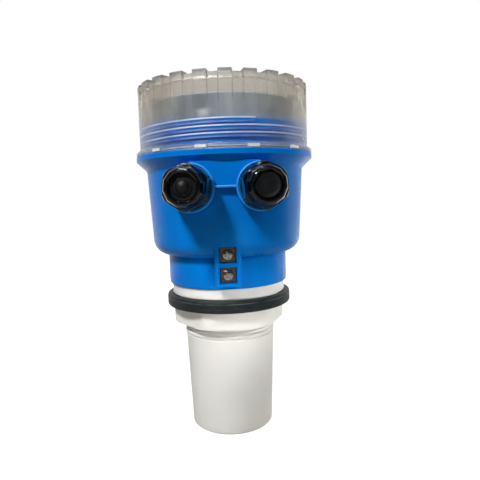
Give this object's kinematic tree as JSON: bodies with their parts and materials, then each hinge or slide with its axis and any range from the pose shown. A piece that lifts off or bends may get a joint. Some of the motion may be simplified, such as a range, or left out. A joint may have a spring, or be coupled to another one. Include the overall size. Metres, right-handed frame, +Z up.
{
  "type": "ultrasonic level gauge",
  "caption": "Ultrasonic level gauge: a blue housing with cable glands and a clear screw cap over the display, on a white potted sensor.",
  "frame": {"origin": "centre of the sensor's flat face, which the part stands on", "axes": "+Z up along the sensor's axis towards the cap; the cable glands point towards -Y"},
  "size_m": [0.1182, 0.1414, 0.23],
  "materials": {
    "housing_blue": "moulded, satin",
    "sensor_white": "moulded, satin",
    "rubber": "matt",
    "seal_silicone": "matt",
    "gland_black": "glossy nylon",
    "cap_clear": "clear, smoky",
    "window_clear": "clear",
    "can_slate": "satin",
    "fascia_grey": "printed film",
    "key_blue": "satin",
    "board_green": "solder mask",
    "screw_steel": "nickel plated",
    "insert_brass": "turned",
    "terminal_green": "moulded",
    "part_black": "moulded",
    "relay_blue": "moulded",
    "capacitor_can": "sleeved can",
    "ribbon_grey": "flat cable",
    "lcd_glass": "glass front",
    "plug_cream": "moulded",
    "piezo_ceramic": "silvered faces",
    "matching_resin": "filled resin",
    "damping_resin": "cast resin",
    "foam": "closed cells",
    "probe_epoxy": "dipped bead"
  },
  "bodies": {
    "root": {"housing": "housing_blue", "sensor_body": "sensor_white", "mounting_gasket": "rubber", "sensor_o_ring": "rubber", "sensor_locknut": "sensor_white", "matching_layer": "matching_resin", "piezo_disc": "piezo_ceramic", "foam_sleeve": "foam", "backing_block": "damping_resin", "temperature_sensor": "probe_epoxy", "potting_compound": "damping_resin", "sensor_lead": "part_black", "lead_plug": "plug_cream", "main_board": "board_green", "board_screws": "screw_steel", "terminal_block": "terminal_green", "terminal_screws": "screw_steel", "power_module": "part_black", "relay_left": "relay_blue", "relay_right": "relay_blue", "capacitor_left": "capacitor_can", "capacitor_right": "capacitor_can", "ribbon_header_lower": "part_black", "ribbon_header_upper": "part_black", "ribbon_cable": "ribbon_grey", "display_can": "can_slate", "display_board": "board_green", "display_screws": "screw_steel", "lcd_panel": "lcd_glass", "display_window": "window_clear", "display_fascia": "fascia_grey", "key_switch_1": "part_black", "key_switch_2": "part_black", "key_switch_3": "part_black", "key_switch_4": "part_black", "ground_insert_upper": "insert_brass", "ground_insert_lower": "insert_brass", "ground_plate_upper": "screw_steel", "ground_plate_lower": "screw_steel", "ground_screw_upper": "screw_steel", "ground_screw_lower": "screw_steel", "gland_left_body": "gland_black", "gland_left_washer": "rubber", "gland_right_body": "gland_black", "gland_right_washer": "rubber"},
    "cap_ring": {"cap_seal": "seal_silicone"},
    "cap": {"cap": "cap_clear"},
    "left_seal": {"gland_left_seal": "rubber", "gland_left_plug": "gland_black"},
    "left_nut": {"gland_left_nut": "gland_black"},
    "right_seal": {"gland_right_seal": "rubber", "gland_right_disc": "gland_black"},
    "right_nut": {"gland_right_nut": "gland_black"},
    "key_1": {"key_1": "key_blue"},
    "key_2": {"key_2": "key_blue"},
    "key_3": {"key_3": "key_blue"},
    "key_4": {"key_4": "key_blue"}
  },
  "joints": [
    {"name": "cap_rise", "type": "slide", "parent": "root", "child": "cap_ring", "axis": [0, 0, 1], "range_m": [0, 0.0126]},
    {"name": "cap_turn", "type": "hinge", "parent": "cap_ring", "child": "cap", "pos_m": [0, 0, 0.2], "axis": [0, 0, 1], "range_deg": [0, 1080]},
    {"name": "gland_left_seal_slide", "type": "slide", "parent": "root", "child": "left_seal", "axis": [-0.0872, -0.9962, 0], "range_m": [0, 0.003]},
    {"name": "gland_left_nut_turn", "type": "hinge", "parent": "left_seal", "child": "left_nut", "pos_m": [-0.0205, -0.057, 0.1635], "axis": [-0.0872, -0.9962, 0], "range_deg": [0, 720]},
    {"name": "gland_right_seal_slide", "type": "slide", "parent": "root", "child": "right_seal", "axis": [0.0872, -0.9962, 0], "range_m": [0, 0.003]},
    {"name": "gland_right_nut_turn", "type": "hinge", "parent": "right_seal", "child": "right_nut", "pos_m": [0.0205, -0.057, 0.1635], "axis": [0.0872, -0.9962, 0], "range_deg": [0, 720]},
    {"name": "key_1_press", "type": "slide", "parent": "root", "child": "key_1", "axis": [0, 0, -1], "range_m": [0, 0.0008], "stiffness_N_per_m": 300, "springref_m": -0.0005},
    {"name": "key_2_press", "type": "slide", "parent": "root", "child": "key_2", "axis": [0, 0, -1], "range_m": [0, 0.0008], "stiffness_N_per_m": 300, "springref_m": -0.0005},
    {"name": "key_3_press", "type": "slide", "parent": "root", "child": "key_3", "axis": [0, 0, -1], "range_m": [0, 0.0008], "stiffness_N_per_m": 300, "springref_m": -0.0005},
    {"name": "key_4_press", "type": "slide", "parent": "root", "child": "key_4", "axis": [0, 0, -1], "range_m": [0, 0.0008], "stiffness_N_per_m": 300, "springref_m": -0.0005}
  ],
  "couplings": [
    {"joint": "cap_rise", "follows": "cap_turn", "m_per_rad": 0.00066845},
    {"joint": "gland_left_seal_slide", "follows": "gland_left_nut_turn", "m_per_rad": 0.00023873},
    {"joint": "gland_right_seal_slide", "follows": "gland_right_nut_turn", "m_per_rad": 0.00023873}
  ]
}
